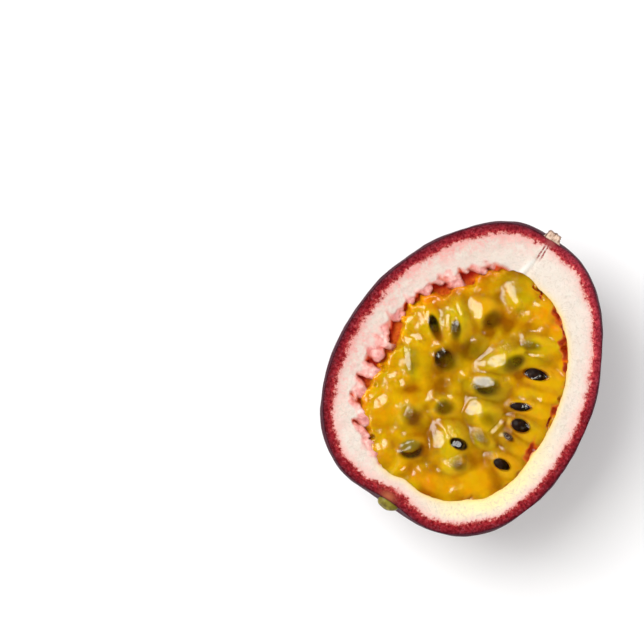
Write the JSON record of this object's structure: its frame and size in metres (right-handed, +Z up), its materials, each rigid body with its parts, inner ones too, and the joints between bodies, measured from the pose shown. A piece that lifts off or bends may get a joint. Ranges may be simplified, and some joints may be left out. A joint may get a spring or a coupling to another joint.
{
  "type": "passion fruit half",
  "caption": "Half of a ripe passion fruit, cut lengthwise: a thick purple rind with white pith round a heap of glossy yellow juice sacs, with its stalk stub and blossom nub.",
  "frame": {"origin": "on the surface that the half lies on, under the middle of its bounding box", "axes": "+Z up out of the cut face, +Y to the stalk end along the fruit's length, +X across its width"},
  "size_m": [0.0525, 0.0649, 0.0304],
  "materials": {
    "rind": "satin purple skin with a maroon layer and matt off-white pith where it is cut",
    "pulp": "wet, glossy, cloudy yellow-orange jelly",
    "seed": "glossy brown-black seed",
    "stalk": "dry, fibrous, matt",
    "blossom": "satin olive green"
  },
  "bodies": {
    "root": {"rind": "rind", "pulp": "pulp", "stalk_stub": "stalk", "blossom_nub": "blossom"}
  },
  "joints": []
}
